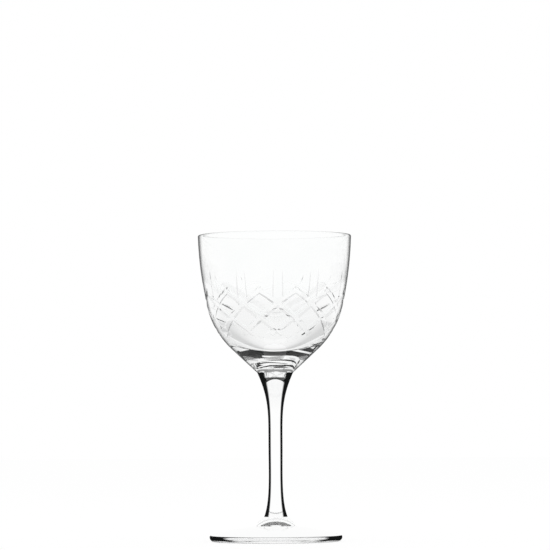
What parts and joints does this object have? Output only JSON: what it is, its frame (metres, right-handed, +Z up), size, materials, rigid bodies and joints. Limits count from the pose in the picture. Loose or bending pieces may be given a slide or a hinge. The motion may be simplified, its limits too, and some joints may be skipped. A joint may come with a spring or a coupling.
{
  "type": "cocktail glass",
  "caption": "Clear stemmed cocktail glass: a rounded bowl with a cut diamond lattice and upright cuts, a waisted solid stem, and a domed round foot with a hollow underside.",
  "frame": {"origin": "centre of the ring that the foot stands on, on the table", "axes": "+Z up along the axis of the glass, -Y towards the viewer of the picture, +X to the right"},
  "size_m": [0.0722, 0.0722, 0.144],
  "materials": {
    "clear_glass": "fire-polished, with polished wheel cuts"
  },
  "bodies": {
    "root": {"bowl": "clear_glass", "stem": "clear_glass", "foot": "clear_glass"}
  },
  "joints": []
}
